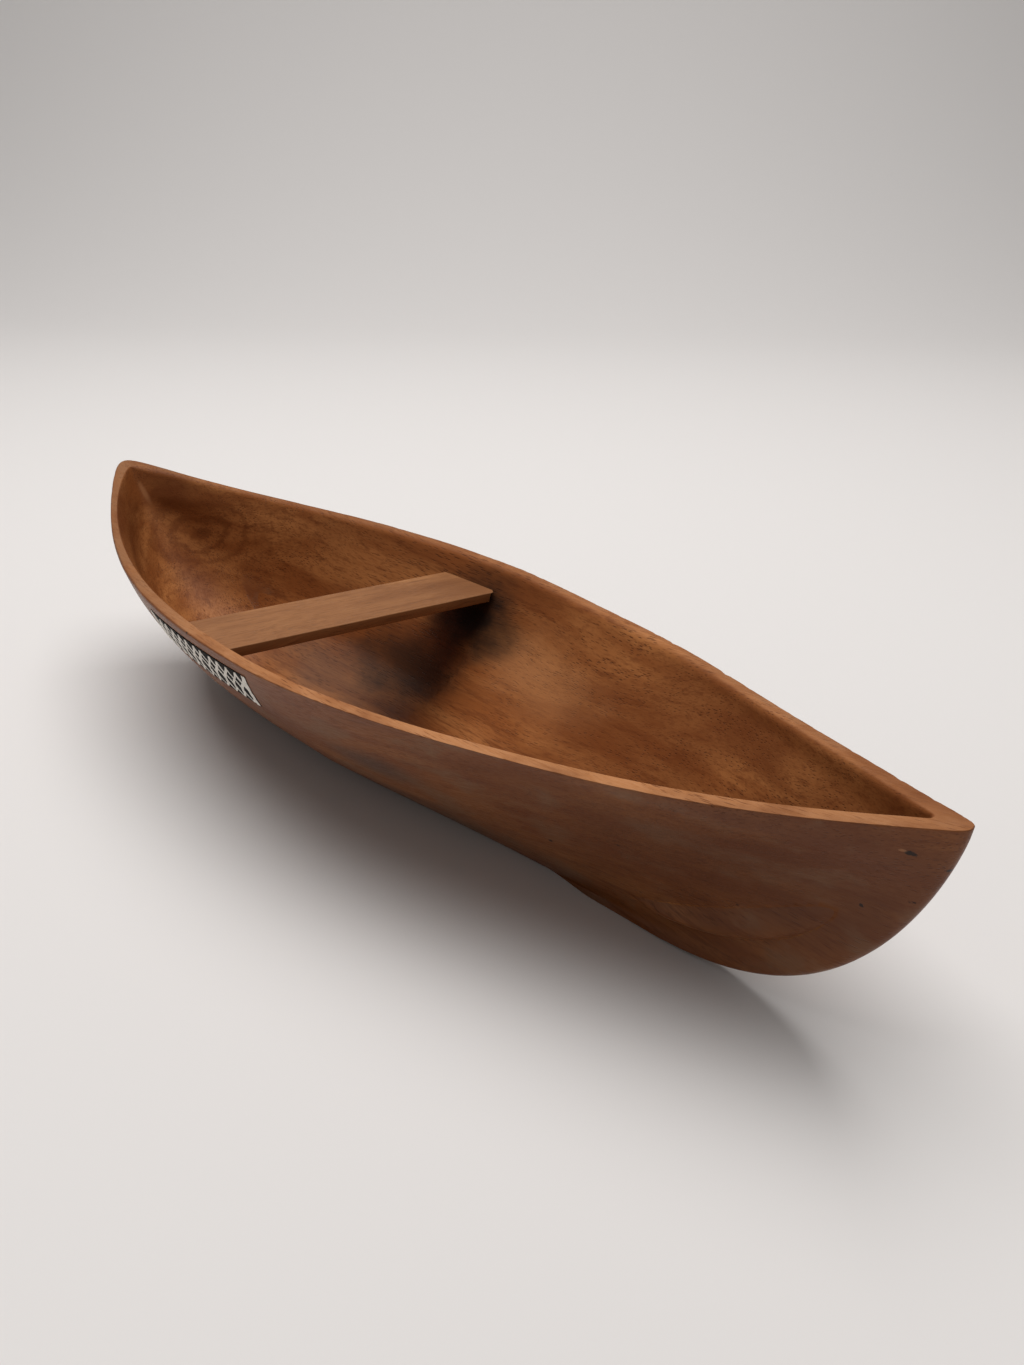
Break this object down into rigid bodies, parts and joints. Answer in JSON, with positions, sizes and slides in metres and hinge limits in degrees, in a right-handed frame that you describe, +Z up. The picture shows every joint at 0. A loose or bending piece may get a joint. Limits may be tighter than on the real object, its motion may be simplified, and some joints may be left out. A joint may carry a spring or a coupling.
{
  "type": "incense burner",
  "caption": "Boat-shaped incense vessel carved from one block of hardwood, with a seat board across its hollow and a painted net panel under each rim.",
  "frame": {"origin": "on the flat under the keel, in the middle of the boat's length and breadth", "axes": "+X to the bow, +Y to the far side, +Z up"},
  "size_m": [0.3494, 0.1106, 0.0745],
  "materials": {
    "hull_wood": "satin",
    "board_wood": "satin",
    "black_paint": "matte",
    "white_paint": "matte"
  },
  "bodies": {
    "root": {"hull": "hull_wood", "seat_board": "board_wood", "panel_ground_near": "black_paint", "panel_net_near": "white_paint", "panel_ground_far": "black_paint", "panel_net_far": "white_paint"}
  },
  "joints": []
}
